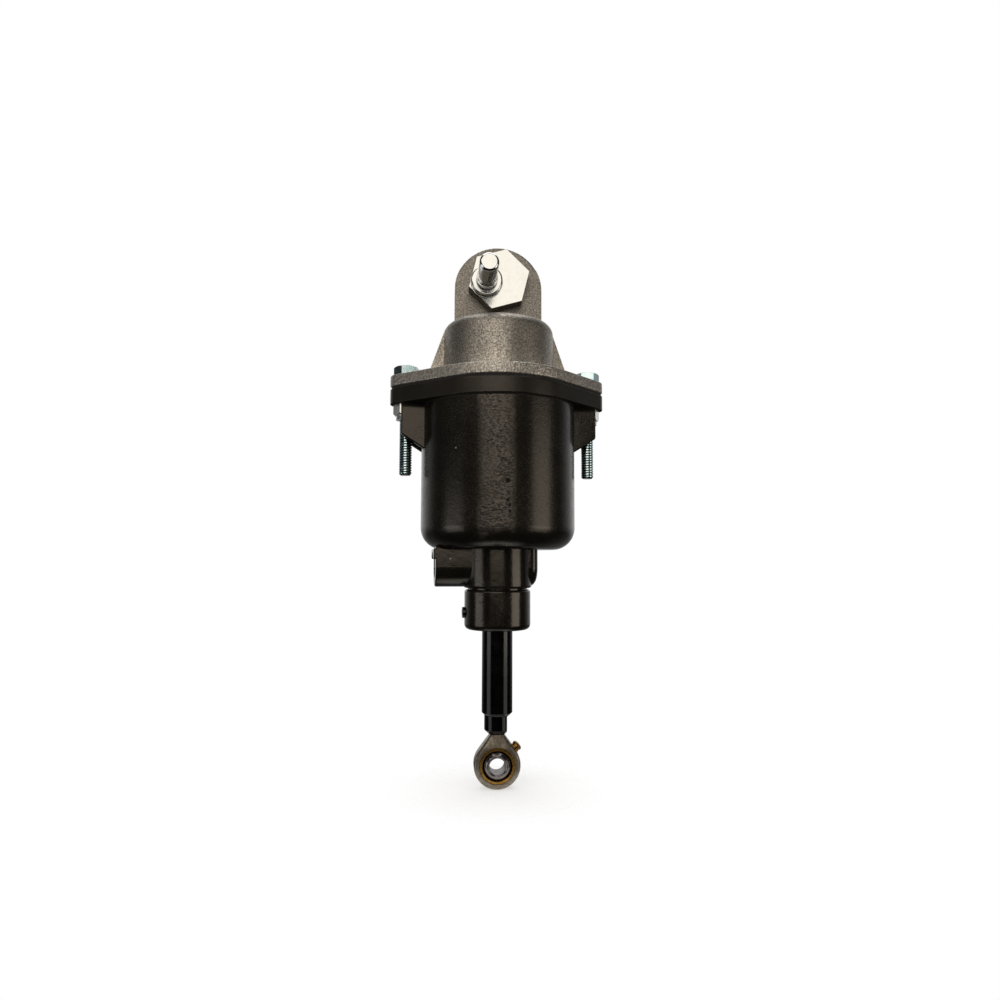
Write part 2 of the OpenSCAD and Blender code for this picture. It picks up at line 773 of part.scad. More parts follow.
module bush_set_screw() {
    len = neck_r + screw_out - gland_r;
    color(BLACK_ROD) with_ears(z_screw) translate([-neck_r - screw_out, 0, 0]) rotate([0, 90, 0])
        difference() {
            cylinder(d = screw_d, h = len);
            translate([0, 0, -over]) hex_bar(screw_socket, screw_socket_depth + over);
        }
}

module rod_end_body() {
    color(STEEL) on_axis(z_eye) difference() {
        union() {
            rotate([90, 0, 0]) rotate_extrude() eye_section();
            eye_taper();
            translate([0, 0, eye_drop - over]) cylinder(d = shank_d, h = shank_len + over);
        }
        rotate([90, 0, 0]) cylinder(d = race_d, h = eye_w + 2 * over, center = true);
        nipple_place() {
            translate([0, 0, -nipple_in]) cylinder(d = nipple_stem_d, h = nipple_in);
            translate([0, 0, -nipple_spot]) cylinder(d = nipple_d + 2 * fit_clear, h = eye_w);
        }
    }
}

// Half section of the eye, with both outer edges rounded
module eye_section() {
    flat = eye_w / 2 - eye_edge;
    translate([0, -eye_w / 2]) square([eye_r - eye_edge, eye_w]);
    translate([0, -flat]) square([eye_r, 2 * flat]);
    for (s = [-1, 1]) translate([eye_r - eye_edge, s * flat]) circle(r = eye_edge);
}

// Plate from the eye up to its neck, turned down to the rod's lower face at its top
module eye_taper() {
    reach = norm([eye_neck, eye_drop]);
    lean = asin(eye_r / reach) - atan(eye_neck / eye_drop) - NECK_ANGLE;
    foot = eye_r * [cos(lean), sin(lean)];
    intersection() {
        translate([0, eye_neck, 0]) rotate([90, 0, 0]) linear_extrude(2 * eye_neck)
            polygon([[0, 0], foot, [eye_neck, eye_drop], [-eye_neck, eye_drop], [-foot.x, foot.y]]);
        cylinder(r1 = stub_face_r + eye_drop, r2 = stub_face_r, h = eye_drop);
    }
}

// Places children on the eye's edge, with +Z pointing out of it
module nipple_place() {
    rotate([0, 90 - nipple_angle, 0]) translate([0, 0, eye_r]) children();
}

module rod_end_race() {
    mouth = race_d / 2 - race_rim;
    half = eye_w / 2;
    color(BRASS) on_axis(z_eye) rotate([90, 0, 0]) rotate_extrude() difference() {
        translate([0, -half]) square([race_d / 2 - fit_clear, eye_w]);
        circle(d = ball_d + 2 * ball_clear);
        for (s = [0, 1]) mirror([0, s])
            polygon([[0, half - mouth], [mouth, half], [mouth, half + over], [0, half + over]]);
    }
}

module rod_end_ball() {
    mouth = eye_bore / 2 + eye_chamfer;
    color(ZINC) on_axis(z_eye) rotate([90, 0, 0]) difference() {
        intersection() {
            sphere(d = ball_d);
            cylinder(d = ball_d + over, h = ball_w, center = true);
        }
        cylinder(d = eye_bore, h = ball_w + 2 * over, center = true);
        for (s = [0, 1]) mirror([0, 0, s]) translate([0, 0, ball_w / 2 - eye_chamfer])
            cylinder(r1 = eye_bore / 2, r2 = mouth, h = eye_chamfer);
    }
}

module grease_nipple() {
    stem_r = nipple_stem_d / 2 - fit_clear;
    seat = -nipple_spot;
    color(BRASS) on_axis(z_eye) nipple_place() rotate_extrude() polygon([
        [0, fit_clear - nipple_in], [stem_r, fit_clear - nipple_in], [stem_r, seat], [nipple_d / 2, seat],
        [nipple_d / 2, nipple_out - nipple_nose_h], [nipple_nose_d / 2, nipple_out], [0, nipple_out]]);
}

end_cap();
cylinder_body();
flange_gasket();
flange_bolts();
flange_nuts();
pivot_stud();
pivot_washer();
pivot_nut();
piston();
piston_seal();
piston_guide_ring();
piston_washer();
piston_nut();
return_spring();
piston_rod();
rod_bush();
rod_seal();
rod_wiper();
bush_set_screw();
rod_end_body();
rod_end_race();
rod_end_ball();
grease_nipple();
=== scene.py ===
import math

import bmesh
import bpy
from mathutils import Matrix, Vector

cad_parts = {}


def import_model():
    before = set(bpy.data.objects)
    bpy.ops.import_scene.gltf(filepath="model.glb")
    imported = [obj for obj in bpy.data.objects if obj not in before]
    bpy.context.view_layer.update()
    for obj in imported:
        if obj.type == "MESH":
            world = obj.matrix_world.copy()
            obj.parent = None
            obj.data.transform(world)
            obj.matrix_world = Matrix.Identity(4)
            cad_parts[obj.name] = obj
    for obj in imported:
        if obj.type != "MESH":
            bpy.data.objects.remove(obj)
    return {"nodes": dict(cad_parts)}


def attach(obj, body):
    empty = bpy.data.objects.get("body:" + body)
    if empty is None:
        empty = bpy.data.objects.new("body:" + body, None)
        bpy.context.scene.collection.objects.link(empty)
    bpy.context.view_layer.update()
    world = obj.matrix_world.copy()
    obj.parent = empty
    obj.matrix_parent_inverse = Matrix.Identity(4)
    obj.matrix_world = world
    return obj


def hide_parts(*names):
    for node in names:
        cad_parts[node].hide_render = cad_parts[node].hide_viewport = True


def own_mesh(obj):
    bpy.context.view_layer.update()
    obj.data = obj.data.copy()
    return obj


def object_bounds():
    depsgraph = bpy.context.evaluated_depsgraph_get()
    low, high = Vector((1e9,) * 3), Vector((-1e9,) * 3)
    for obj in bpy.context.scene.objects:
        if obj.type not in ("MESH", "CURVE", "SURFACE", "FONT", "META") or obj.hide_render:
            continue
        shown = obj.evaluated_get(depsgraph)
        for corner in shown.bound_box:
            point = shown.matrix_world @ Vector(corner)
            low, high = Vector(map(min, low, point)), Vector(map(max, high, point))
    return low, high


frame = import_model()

CAD_BOX = [list(corner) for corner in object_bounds()]
NODES = frame["nodes"]
MM = 0.001

# Places in the row frame, in millimetres
AXIS = Vector((6.5, 12.8, 0.0))
JOINT_Z = -56.1
CAP_FLANGE_TOP = JOINT_Z + 6.7
CAP_TOP = CAP_FLANGE_TOP + 28.0
BODY_FLANGE_LOW = JOINT_Z - 7.9
CYLINDER_LOW = JOINT_Z - 80.5
STRIP_X = AXIS.x - 3.0
EYE = Vector((6.5, 12.8, -242.5))
HEX_FRONT, HEX_BACK = 6.1, 14.1

# Frame that turns with the flange's ears, and places in it
EARS = Matrix.Translation(AXIS) @ Matrix.Rotation(math.radians(4.2), 4, "Z")
BOLT_OUT = 46.9
PORT_BOTTOM_X, PORT_Z = -17.8, -145.1
SCREW_Z = -167.9

# Pits and bright chips of the black coat, as place and radius, and the share of the radius without fade
PITS = [
    (8.8, -26.0, -105.4, 1.35),
    (8.6, -26.0, -114.3, 0.75),
    (9.5, -26.0, -116.5, 0.85),
    (9.6, -26.0, -119.6, 0.8),
]
CHIPS = [
    (-15.3, -19.4, -89.5, 0.55),
    (-17.3, 1.0, -141.1, 0.6),
]
SPOT_CORE = 0.35


def add_object(name, data):
    """A new object in the scene."""
    obj = bpy.data.objects.new(name, data)
    bpy.context.scene.collection.objects.link(obj)
    return obj


# Materials

class Tree:
    """A node tree, with short calls for the nodes used here; place is its coordinate."""

    def __init__(self, tree, place):
        self.nodes, self.links = tree.nodes, tree.links
        self.coordinates = self.nodes.new("ShaderNodeTexCoord").outputs
        self.place = self.coordinates[place]

    def feed(self, socket, value):
        """Links a socket or sets its value; a colour may leave out its alpha."""
        if isinstance(value, bpy.types.NodeSocket):
            self.links.new(value, socket)
        elif isinstance(value, tuple) and len(value) == 3 and socket.type == "RGBA":
            socket.default_value = (*value, 1.0)
        else:
            socket.default_value = value

    def math(self, operation, a, b=0.0):
        node = self.nodes.new("ShaderNodeMath")
        node.operation = operation
        self.feed(node.inputs[0], a)
        self.feed(node.inputs[1], b)
        return node.outputs["Value"]

    def plus(self, a, b):
        return self.math("ADD", a, b)

    def times(self, a, b):
        return self.math("MULTIPLY", a, b)

    def range(self, value, low, high, to_low=0.0, to_high=1.0, curve="SMOOTHSTEP"):
        """Maps low to to_low and high to to_high, and stays there outside them."""
        node = self.nodes.new("ShaderNodeMapRange")
        node.interpolation_type = curve
        self.feed(node.inputs["Value"], value)
        ends = {"From Min": low, "From Max": high, "To Min": to_low, "To Max": to_high}
        for name, number in ends.items():
            node.inputs[name].default_value = number
        return node.outputs["Result"]

    def step(self, value, low, high, to_low=0.0, to_high=1.0):
        """The same for a length, with low and high in millimetres."""
        return self.range(value, low * MM, high * MM, to_low, to_high)

    def part(self, axis, vector=None):
        node = self.nodes.new("ShaderNodeSeparateXYZ")
        self.links.new(vector or self.place, node.inputs[0])
        return node.outputs[axis]

    def measure(self, operation, vector):
        """A number from the place and a vector, such as their distance."""
        node = self.nodes.new("ShaderNodeVectorMath")
        node.operation = operation
        self.links.new(self.place, node.inputs[0])
        node.inputs[1].default_value = vector
        return node.outputs["Value"]


class Shader(Tree):
    """A material's node tree."""

    def __init__(self, name):
        self.material = bpy.data.materials.new(name)
        self.material.use_nodes = True
        super().__init__(self.material.node_tree, "Object")
        self.bsdf = self.nodes["Principled BSDF"]
        self.normal = None

    def set(self, **values):
        """Feeds the shader's inputs, named in lower case."""
        for name, value in values.items():
            title = name.replace("_", " ").title().replace("Ior", "IOR")
            self.feed(self.bsdf.inputs[title], value)

    def stretch(self, x, y, z):
        node = self.nodes.new("ShaderNodeMapping")
        self.links.new(self.place, node.inputs["Vector"])
        node.inputs["Scale"].default_value = (x, y, z)
        return node.outputs["Vector"]

    def noise(self, size, detail, rough, distortion=0.0, vector=None):
        """Noise whose grains are about that many millimetres."""
        node = self.nodes.new("ShaderNodeTexNoise")
        self.links.new(vector or self.place, node.inputs["Vector"])
        node.inputs["Scale"].default_value = 1.0 / (size * MM)
        node.inputs["Detail"].default_value = detail
        node.inputs["Roughness"].default_value = rough
        node.inputs["Distortion"].default_value = distortion
        return node.outputs["Fac"]

    def cells(self, size, vector):
        """Distance to the nearest of points about that many millimetres apart."""
        node = self.nodes.new("ShaderNodeTexVoronoi")
        self.links.new(vector, node.inputs["Vector"])
        node.inputs["Scale"].default_value = 1.0 / (size * MM)
        return node.outputs["Distance"]

    def ramp(self, fac, *stops):
        """A colour from stops of a position and a colour."""
        node = self.nodes.new("ShaderNodeValToRGB")
        elements = node.color_ramp.elements
        while len(elements) < len(stops):
            elements.new(0.5)
        for element, (position, colour) in zip(elements, stops):
            element.position = position
            element.color = (*colour, 1.0)
        self.links.new(fac, node.inputs["Fac"])
        return node.outputs["Color"]

    def mix(self, fac, a, b, blend="MIX"):
        node = self.nodes.new("ShaderNodeMix")
        node.data_type = "RGBA"
        node.blend_type = blend
        sockets = [socket for socket in node.inputs if socket.enabled]
        for socket, value in zip(sockets, (fac, a, b)):
            self.feed(socket, value)
        return next(socket for socket in node.outputs if socket.enabled)

    def near(self, spots):
        """0 at the given spots, 1 outside their radii; spots are (x, y, z, radius) in millimetres."""
        least = None
        for x, y, z, radius in spots:
            distance = self.measure("DISTANCE", (x * MM, y * MM, z * MM))
            here = self.step(distance, SPOT_CORE * radius, radius)
            least = here if least is None else self.math("MINIMUM", least, here)
        return least

    def off(self, axis, middle):
        """Distance in metres along an axis from a place on it, in millimetres."""
        return self.math("ABSOLUTE", self.math("SUBTRACT", self.part(axis), middle * MM))

    def ring(self, centre, axes):
        """Distance in metres, across the two axes, from a line through the centre, in millimetres."""
        u, v = [self.off(axis, centre["XYZ".index(axis)]) for axis in axes]
        return self.math("SQRT", self.plus(self.times(u, u), self.times(v, v)))

    def bump(self, height, depth):
        """Adds relief of that many millimetres from height 0 to 1."""
        node = self.nodes.new("ShaderNodeBump")
        node.inputs["Distance"].default_value = depth * MM
        node.inputs["Strength"].default_value = 1.0
        self.links.new(height, node.inputs["Height"])
        if self.normal is not None:
            self.links.new(self.normal, node.inputs["Normal"])
        self.normal = node.outputs["Normal"]
        self.links.new(self.normal, self.bsdf.inputs["Normal"])


def cast_aluminium():
    """Bare sand casting: warm grey, grainy, with a coarser stipple on the flange."""
    s = Shader("cast_aluminium")
    height = s.part("Z")
    grain = s.noise(0.75, 3.0, 0.6)
    cloud = s.noise(9.0, 3.0, 0.5)
    stipple = s.cells(0.95, s.stretch(1.0, 1.0, 0.8))
    dark, middle, pale = (0.17, 0.153, 0.130), (0.38, 0.349, 0.304), (0.66, 0.615, 0.545)
    tone = s.ramp(grain, (0.32, dark), (0.5, middle), (0.68, pale))
    tone = s.mix(s.range(cloud, 0.35, 0.7, 0.0, 0.3), tone, (0.28, 0.252, 0.216))
    flange = s.step(height, CAP_FLANGE_TOP + 0.4, CAP_FLANGE_TOP - 0.4)
    edge = s.ramp(stipple, (0.1, (0.95, 0.89, 0.80)), (0.6, (0.26, 0.24, 0.21)))
    tone = s.mix(s.times(flange, 0.4), tone, edge)
    # Painted light: towards the bottom, the cap's foot and flange are made up to 1.3 times lighter; painted
    # shade makes the lug on top about a quarter darker
    foot_painted_light = s.step(height, CAP_FLANGE_TOP + 13.0, CAP_FLANGE_TOP + 1.0, 1.0, 1.3)
    lug_painted_shade = s.step(height, CAP_TOP - 2.0, CAP_TOP + 4.0, 1.0, 0.74)
    tone = s.mix(1.0, tone, s.times(foot_painted_light, lug_painted_shade), "MULTIPLY")
    s.set(base_color=tone, metallic=0.95, roughness=s.range(grain, 0.3, 0.7, 0.50, 0.38))
    s.bump(cloud, 0.15)
    s.bump(grain, 0.12)
    s.bump(s.times(stipple, flange), 0.14)
    return s.material


def black_casting():
    """Black coat over a casting: glossy, wrinkled down a strip of the cylinder, with a few pits."""
    s = Shader("black_casting")
    height = s.part("Z")
    peel = s.noise(4.0, 2.0, 0.5, 0.3, s.stretch(1.0, 1.0, 1.3))
    ripple = s.noise(1.5, 3.0, 0.6, 0.4, s.stretch(1.0, 1.0, 2.2))
    cloud = s.noise(14.0, 3.0, 0.55)
    fine = s.noise(0.5, 2.0, 0.5)
    pits = s.near(PITS)
    chips = s.near(CHIPS)

    # How strong the wrinkles are: most in the strip, little on the gussets and the flange
    strip = s.step(s.off("X", STRIP_X), 6.5, 10.5, 1.0, 0.18)
    strip = s.times(strip, s.step(height, CYLINDER_LOW, CYLINDER_LOW + 14.0, 0.25, 1.0))
    gusset = s.step(s.off("X", AXIS.x), 34.5, 36.0)
    below = s.step(height, BODY_FLANGE_LOW + 0.4, BODY_FLANGE_LOW - 0.1, 0.3, 1.0)
    rippled = s.times(s.math("MAXIMUM", strip, s.times(gusset, 0.3)), below)
    rippled = s.times(rippled, s.range(cloud, 0.42, 0.58, 0.45, 1.0))
    wrinkle = s.times(s.range(ripple, 0.46, 0.62), rippled)
    # Painted highlight: paler flecks in the wrinkled parts of the coat, where the wrinkles would catch the
    # light
    painted_wrinkle_glints = s.times(s.range(ripple, 0.53, 0.45), s.range(rippled, 0.2, 0.8))

    # Painted shadow: a dark line under the flange, and a painted shade there on the gussets
    line = s.times(s.step(height, BODY_FLANGE_LOW - 1.3, BODY_FLANGE_LOW - 0.9),
                   s.step(height, BODY_FLANGE_LOW + 0.1, BODY_FLANGE_LOW))
    shade = s.times(s.step(height, BODY_FLANGE_LOW - 3.2, BODY_FLANGE_LOW - 1.2), gusset)
    painted_shadow = s.math("MAXIMUM", line, s.times(shade, s.range(below, 0.5, 1.0)))

    tone = s.ramp(cloud, (0.3, (0.0052, 0.0043, 0.0031)), (0.7, (0.0105, 0.0090, 0.0069)))
    tone = s.mix(s.range(fine, 0.52, 0.74, 0.0, 0.5), tone, (0.022, 0.019, 0.0155))
    # Painted highlight of the wrinkles, as a paler tone
    tone = s.mix(painted_wrinkle_glints, tone, (0.060, 0.052, 0.043))
    tone = s.mix(pits, (0.001, 0.001, 0.001), tone)
    tone = s.mix(chips, (0.30, 0.29, 0.27), tone)
    # Painted shadow under the flange: a near-black tone
    tone = s.mix(painted_shadow, tone, (0.0012, 0.0011, 0.001))
    rough = s.plus(s.range(fine, 0.3, 0.7, 0.13, 0.20), s.times(wrinkle, 0.50))
    rough = s.plus(rough, s.step(height, CYLINDER_LOW, CYLINDER_LOW + 5.0, 0.0, 0.05))
    rough = s.plus(rough, s.range(below, 0.3, 1.0, 0.14, 0.0))
    rough = s.plus(rough, s.range(pits, 0.0, 1.0, 0.7, 0.0))
    # The painted shadow under the flange is also made rougher
    rough = s.math("MINIMUM", s.plus(rough, s.times(painted_shadow, 0.75)), 1.0)
    s.set(base_color=tone, roughness=rough, specular_ior_level=0.6, specular_tint=(1.0, 0.90, 0.77))
    s.bump(peel, 0.05)
    s.bump(s.times(ripple, rippled), 0.22)
    s.bump(fine, 0.012)
    s.bump(pits, 0.6)
    return s.material


def zinc_steel(name, painted_hex_shade=False):
    """Bright zinc plate with faint lines and dull patches; with painted_hex_shade, the hexagon's sides get
    painted shade, a darker tone, and more roughness.
    """
    s = Shader(name)
    lines = s.noise(0.5, 2.0, 0.5, 0.0, s.stretch(1.0, 1.0, 0.15))
    cloud = s.noise(4.0, 3.0, 0.6)
    tone = s.ramp(cloud, (0.3, (0.70, 0.71, 0.69)), (0.7, (0.80, 0.81, 0.79)))
    rough = s.range(cloud, 0.3, 0.75, 0.13, 0.24)
    if painted_hex_shade:
        depth = s.part("Y")
        side = s.range(s.math("ABSOLUTE", s.part("Y", s.coordinates["Normal"])), 0.6, 0.3)
        side = s.times(side, s.step(depth, HEX_FRONT - 0.1, HEX_FRONT + 0.2))
        side = s.times(side, s.step(depth, HEX_BACK + 0.2, HEX_BACK + 0.1))
        # Painted shade on the hexagon's side faces
        tone = s.mix(side, tone, (0.15, 0.128, 0.10))
        rough = s.plus(rough, s.times(side, 0.25))
    s.set(base_color=tone, metallic=1.0, roughness=rough)
    s.bump(lines, 0.006)
    return s.material


def bolt_zinc(name, low, high, rough_low, rough_high):
    """Passivated zinc of the bolts and nuts, with painted shade in the roots of the threads."""
    s = Shader(name)
    cloud = s.noise(2.5, 3.0, 0.6)
    fine = s.noise(0.4, 2.0, 0.5)
    tone = s.ramp(cloud, (0.3, low), (0.7, high))
    left, right = [s.ring(EARS @ Vector((side * BOLT_OUT, 0.0, 0.0)), "XY") for side in (-1, 1)]
    # Painted shade in the thread roots, close round the bolt axes
    root = s.step(s.math("MINIMUM", left, right), 3.08, 2.85)
    root = s.times(root, s.step(s.part("Z"), CAP_FLANGE_TOP, CAP_FLANGE_TOP - 1.0))
    tone = s.mix(root, tone, (0.030, 0.055, 0.062))
    s.set(base_color=tone, metallic=1.0, roughness=s.range(cloud, 0.3, 0.7, rough_low, rough_high))
    s.bump(fine, 0.008)
    return s.material


def black_rod():
    """Gloss black rod with faint polishing lines."""
    s = Shader("black_rod")
    lines = s.noise(0.4, 3.0, 0.6, 0.0, s.stretch(1.0, 1.0, 0.03))
    cloud = s.noise(6.0, 3.0, 0.6)
    tone = s.ramp(cloud, (0.3, (0.0008, 0.0008, 0.0010)), (0.7, (0.0020, 0.0020, 0.0024)))
    s.set(base_color=tone, roughness=s.range(cloud, 0.3, 0.7, 0.10, 0.18), specular_ior_level=0.45)
    s.bump(lines, 0.004)
    return s.material


def plain_steel(name, low, high, rough_low, rough_high, relief=0.02):
    """Bare or machined metal with a mottled tone and fine marks."""
    s = Shader(name)
    cloud = s.noise(1.8, 4.0, 0.65)
    fine = s.noise(0.45, 3.0, 0.6)
    mark = tuple(0.5 * channel for channel in low)
    tone = s.ramp(cloud, (0.3, low), (0.7, high))
    tone = s.mix(s.range(fine, 0.55, 0.75, 0.0, 0.35), tone, mark)
    s.set(base_color=tone, metallic=1.0, roughness=s.range(cloud, 0.3, 0.7, rough_high, rough_low))
    s.bump(fine, relief)
    return s.material


def race_bronze():
    """Bronze race: bright rim, and painted shadow on its mouth round the ball."""
    s = Shader("race_bronze")
    cloud = s.noise(1.6, 3.0, 0.6)
    fine = s.noise(0.4, 3.0, 0.6)
    # Painted shadow: the mouth inside about 7.4 mm of the eye's axis is near black
    rim = s.step(s.ring(EYE, "XZ"), 7.35, 7.6)
    tone = s.ramp(cloud, (0.3, (0.21, 0.105, 0.020)), (0.7, (0.44, 0.25, 0.065)))
    tone = s.mix(rim, (0.012, 0.009, 0.006), tone)
    s.set(base_color=tone, metallic=1.0, roughness=s.range(cloud, 0.3, 0.7, 0.36, 0.22))
    s.bump(fine, 0.012)
    return s.material


def ball_chrome():
    """Polished ball with turned rings in its bore."""
    s = Shader("ball_steel")
    cloud = s.noise(2.5, 3.0, 0.6)
    rings = s.noise(0.35, 1.0, 0.5, 0.0, s.stretch(0.05, 1.0, 0.05))
    bore = s.step(s.ring(EYE, "XZ"), 4.2, 4.05)
    tone = s.ramp(cloud, (0.3, (0.18, 0.160, 0.155)), (0.7, (0.30, 0.275, 0.268)))
    wall = s.ramp(rings, (0.35, (0.10, 0.094, 0.090)), (0.65, (0.32, 0.303, 0.290)))
    rough = s.plus(s.range(cloud, 0.3, 0.7, 0.18, 0.28), s.times(bore, 0.2))
    s.set(base_color=s.mix(bore, tone, wall), metallic=1.0, roughness=rough)
    s.bump(s.times(rings, bore), 0.04)
    return s.material


def soft_stuff(name, low, high, rough, relief=0.03):
    """Rubber, paper or plastic with a faint grain."""
    s = Shader(name)
    cloud = s.noise(2.0, 3.0, 0.6)
    fine = s.noise(0.3, 2.0, 0.5)
    tone = s.ramp(cloud, (0.3, low), (0.7, high))
    s.set(base_color=tone, roughness=s.range(fine, 0.3, 0.7, rough, rough + 0.12))
    s.bump(fine, relief)
    return s.material


LOOKS = {
    "cast_aluminium": cast_aluminium(),
    "black_casting": black_casting(),
    "zinc_steel": zinc_steel("zinc_steel"),
    "stud_zinc": zinc_steel("stud_zinc", True),
    "bolt_zinc": bolt_zinc("bolt_zinc", (0.48, 0.70, 0.74), (0.82, 0.95, 0.96), 0.12, 0.24),
    "nut_zinc": bolt_zinc("nut_zinc", (0.84, 0.85, 0.83), (0.95, 0.95, 0.93), 0.26, 0.36),
    "black_rod": black_rod(),
    "spring_steel": plain_steel("spring_steel", (0.14, 0.118, 0.090), (0.31, 0.272, 0.218), 0.32, 0.46),
    "turned_aluminium": plain_steel("turned_aluminium", (0.55, 0.55, 0.54), (0.68, 0.68, 0.67), 0.25, 0.36),
    "bronze": plain_steel("bronze", (0.15, 0.075, 0.016), (0.40, 0.235, 0.065), 0.20, 0.32, 0.01),
    "race_bronze": race_bronze(),
    "ball_steel": ball_chrome(),
    "seal_rubber": soft_stuff("seal_rubber", (0.010, 0.010, 0.010), (0.020, 0.020, 0.019), 0.6),
    "guide_plastic": soft_stuff("guide_plastic", (0.62, 0.60, 0.55), (0.72, 0.70, 0.66), 0.45),
    "gasket_paper": soft_stuff("gasket_paper", (0.012, 0.011, 0.010), (0.030, 0.027, 0.024), 0.75, 0.06),
}

NODE_LOOKS = {
    "end_cap": "cast_aluminium",
    "cylinder_body": "black_casting",
    "flange_gasket": "gasket_paper",
    "flange_bolts": "bolt_zinc",
    "flange_nuts": "nut_zinc",
    "pivot_stud": "stud_zinc",
    "pivot_washer": "zinc_steel",
    "pivot_nut": "zinc_steel",
    "piston": "turned_aluminium",
    "piston_seal": "seal_rubber",
    "piston_guide_ring": "guide_plastic",
    "piston_washer": "zinc_steel",
    "piston_nut": "zinc_steel",
    "return_spring": "spring_steel",
    "piston_rod": "black_rod",
    "rod_bush": "bronze",
    "rod_seal": "seal_rubber",
    "rod_wiper": "seal_rubber",
    "bush_set_screw": "black_rod",
    "rod_end_body": "spring_steel",
    "rod_end_race": "race_bronze",
    "rod_end_ball": "ball_steel",
    "grease_nipple": "bronze",
}
for node, look in NODE_LOOKS.items():
    NODES[node].data.materials.clear()
    NODES[node].data.materials.append(LOOKS[look])


# Edges of the CAD nodes

def weigh_normals(obj, keep_sharp):
    """Shades flat faces flat and the rounded edges between them smooth."""
    normals = obj.modifiers.new("normals", "WEIGHTED_NORMAL")
    normals.weight = 100
    normals.keep_sharp = keep_sharp


def soften(node, width):
    """Rounds a CAD node's edges with modifiers; its own mesh stays as packed."""
    obj = NODES[node]
    weld = obj.modifiers.new("weld", "WELD")
    weld.merge_threshold = 1e-6
    flat = obj.modifiers.new("flat", "DECIMATE")
    flat.decimate_type = "DISSOLVE"
    flat.angle_limit = math.radians(0.6)
    bevel = obj.modifiers.new("bevel", "BEVEL")
    bevel.width = width * MM
    bevel.segments = 2
    bevel.limit_method = "ANGLE"
    bevel.angle_limit = math.radians(35)
    bevel.use_clamp_overlap = False
    bevel.miter_outer = "MITER_ARC"
    weigh_normals(obj, False)


EDGE_WIDTHS = {
    "pivot_stud": 0.25,
    "pivot_washer": 0.3,
    "piston_rod": 0.25,
    "rod_end_race": 0.15,
    "rod_end_ball": 0.15,
    "bush_set_screw": 0.25,
}
for node, width in EDGE_WIDTHS.items():
    soften(node, width)


# Mesh pieces: tools

SHARP = math.radians(32)


def to_object(name, bm, look, body, slot, *replaced):
    """Ends a mesh piece: clean mesh, smooth faces with sharp edges, material and body; slot is not used."""
    bmesh.ops.remove_doubles(bm, verts=bm.verts, dist=1e-7)
    bmesh.ops.dissolve_degenerate(bm, edges=bm.edges, dist=1e-7)
    bmesh.ops.recalc_face_normals(bm, faces=bm.faces)
    for face in bm.faces:
        face.smooth = True
    for edge in bm.edges:
        edge.smooth = edge.calc_face_angle(0.0) < SHARP
    mesh = bpy.data.meshes.new(name)
    bm.to_mesh(mesh)
    bm.free()
    obj = add_object(name, mesh)
    mesh.materials.append(LOOKS[look])
    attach(obj, body)
    if replaced:
        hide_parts(*replaced)
    return obj


def at(x, y, z):
    """Places a shape made in millimetres."""
    return Matrix.Scale(MM, 4) @ Matrix.Translation((x, y, z))


def at_ears(x, z):
    """The same, from the rod axis and turned with the flange's ears."""
    return Matrix.Scale(MM, 4) @ EARS @ Matrix.Scale(1 / MM, 4) @ at(x, 0, z)


def loft(bm, place, rings, capped=True):
    """Joins rings of equal length, each a list of points in millimetres, into a skin."""
    rows = [[bm.verts.new(place @ Vector(point)) for point in ring] for ring in rings]
    count = len(rows[0])
    for low, high in zip(rows, rows[1:]):
        for j in range(count):
            k = (j + 1) % count
            bm.faces.new((low[j], low[k], high[k], high[j]))
    if capped:
        bm.faces.new(rows[0])
        bm.faces.new(rows[-1])


def circle(r, z, count, start=0.0):
    angles = [start + 2 * math.pi * j / count for j in range(count)]
    return [(r * math.cos(a), r * math.sin(a), z) for a in angles]


def lathe(bm, place, profile, count):
    """Turns a profile of (radius, height) about the Z axis; it is closed by flat ends."""
    loft(bm, place, [circle(r, z, count) for r, z in profile])


# Castings

LIP_EDGE = 0.25
CASTING_EDGE = math.radians(40)


def rounded_casting(name, node, look, width, left_sharp, on_lip):
    """The CAD node's own mesh with rounded outer edges.

    Edges that left_sharp picks stay as they are, and those that on_lip picks are barely broken.
    """
    bm = bmesh.new()
    bm.from_mesh(NODES[node].data)
    bmesh.ops.remove_doubles(bm, verts=bm.verts, dist=2e-6)
    bmesh.ops.dissolve_limit(bm, angle_limit=math.radians(0.5), verts=bm.verts, edges=bm.edges)
    wide, narrow = [], []
    for edge in bm.edges:
        if len(edge.link_faces) == 2 and edge.is_convex and edge.calc_face_angle() > CASTING_EDGE:
            middle = EARS.inverted() @ ((edge.verts[0].co + edge.verts[1].co) / 2 / MM)
            if on_lip(middle):
                narrow.append(edge)
            elif not left_sharp(middle):
                wide.append(edge)
    for edges, offset in ((wide, width), (narrow, LIP_EDGE)):
        bmesh.ops.bevel(bm, geom=edges, offset=offset * MM, offset_type="OFFSET", segments=3, profile=0.5,
                        affect="EDGES", clamp_overlap=False)
    obj = to_object(name, bm, look, "housing", look, node)
    weigh_normals(obj, True)


# The next five look at the middle of an edge, in millimetres in the ears' frame

def bolt_hole(p):
    """Edges of the two bolt holes."""
    return math.hypot(abs(p.x) - BOLT_OUT, p.y) < 4


def cap_inner(p):
    """Edges inside the cap, of its holes and where the ribs run into its rounded top."""
    inside = math.hypot(p.x, p.y) < 33 and p.z < JOINT_Z + 27
    rib_top = 20 < abs(p.x) < 29 and abs(p.y) < 4 and p.z > JOINT_Z + 25
    return inside or bolt_hole(p) or rib_top


def cap_lip(p):
    """The cap has no edge of this kind."""
    return False


